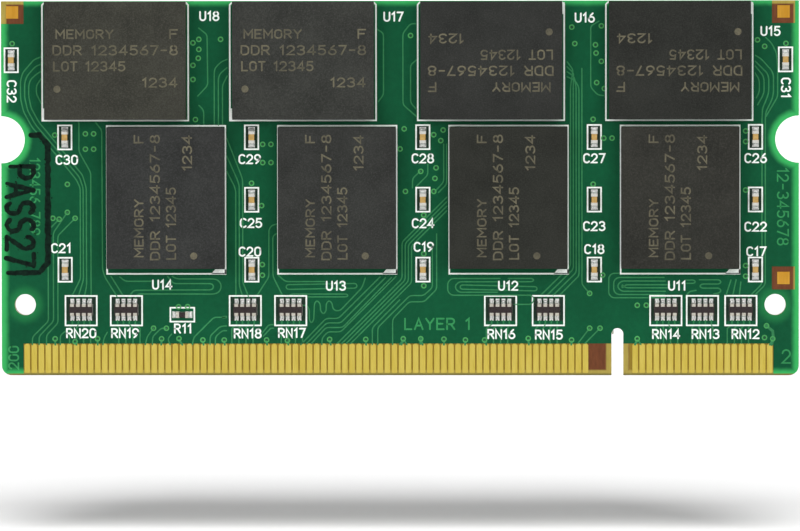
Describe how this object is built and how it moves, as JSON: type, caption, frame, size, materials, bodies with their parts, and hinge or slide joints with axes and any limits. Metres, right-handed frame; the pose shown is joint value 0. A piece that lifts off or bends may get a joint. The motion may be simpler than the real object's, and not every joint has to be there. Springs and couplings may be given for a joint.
{
  "type": "memory module",
  "caption": "Double-sided small-outline memory module: a green circuit board with black memory packages on both faces and gold contacts along a keyed lower edge.",
  "frame": {"origin": "middle of the contact edge, half way through the board's thickness", "axes": "+X along the contact edge towards the key notch, +Z from the contact edge up the board, and -Y out of the face with the even-numbered contacts"},
  "size_m": [0.0676, 0.0034, 0.0318],
  "materials": {
    "laminate": "glass-fibre laminate, satin",
    "solder_mask": "dark green solder mask, semi-gloss",
    "gold": "gold plated copper, satin",
    "solder": "bright solder",
    "tinned_metal": "tinned metal, bright",
    "capacitor_ceramic": "tan ceramic, satin",
    "white_ceramic": "white alumina, matte",
    "resistor_glaze": "dark glaze",
    "package_substrate": "resin laminate edge",
    "moulding": "moulded epoxy, fine matte grain",
    "silicon": "polished silicon",
    "silkscreen": "white printed ink",
    "laser_mark": "laser marking on moulding",
    "ink": "black stamping ink"
  },
  "bodies": {
    "root": {"board_laminate": "laminate", "solder_mask_even": "solder_mask", "solder_mask_odd": "solder_mask", "gold_contacts_even": "gold", "gold_contacts_odd": "gold", "fiducials_even": "gold", "fiducials_odd": "gold", "solder_lands_even": "solder", "solder_lands_odd": "solder", "solder_joints_even": "solder", "solder_joints_odd": "solder", "capacitor_bodies_even": "capacitor_ceramic", "capacitor_bodies_odd": "capacitor_ceramic", "capacitor_terminals_even": "tinned_metal", "capacitor_terminals_odd": "tinned_metal", "resistor_bodies_even": "white_ceramic", "resistor_bodies_odd": "white_ceramic", "resistor_overcoats_even": "resistor_glaze", "resistor_overcoats_odd": "resistor_glaze", "resistor_terminals_even": "tinned_metal", "resistor_terminals_odd": "tinned_metal", "solder_balls_even": "solder", "solder_balls_odd": "solder", "memory_dies_even": "silicon", "memory_dies_odd": "silicon", "memory_substrate_u18": "package_substrate", "memory_substrate_u17": "package_substrate", "memory_substrate_u16": "package_substrate", "memory_substrate_u15": "package_substrate", "memory_substrate_u14": "package_substrate", "memory_substrate_u13": "package_substrate", "memory_substrate_u12": "package_substrate", "memory_substrate_u11": "package_substrate", "memory_substrate_u1": "package_substrate", "memory_substrate_u2": "package_substrate", "memory_substrate_u3": "package_substrate", "memory_substrate_u4": "package_substrate", "memory_substrate_u5": "package_substrate", "memory_substrate_u6": "package_substrate", "memory_substrate_u7": "package_substrate", "memory_substrate_u8": "package_substrate", "memory_chip_u18": "moulding", "memory_chip_u17": "moulding", "memory_chip_u16": "moulding", "memory_chip_u15": "moulding", "memory_chip_u14": "moulding", "memory_chip_u13": "moulding", "memory_chip_u12": "moulding", "memory_chip_u11": "moulding", "memory_chip_u1": "moulding", "memory_chip_u2": "moulding", "memory_chip_u3": "moulding", "memory_chip_u4": "moulding", "memory_chip_u5": "moulding", "memory_chip_u6": "moulding", "memory_chip_u7": "moulding", "memory_chip_u8": "moulding", "eeprom_body": "moulding", "eeprom_leads": "tinned_metal"}
  },
  "joints": []
}
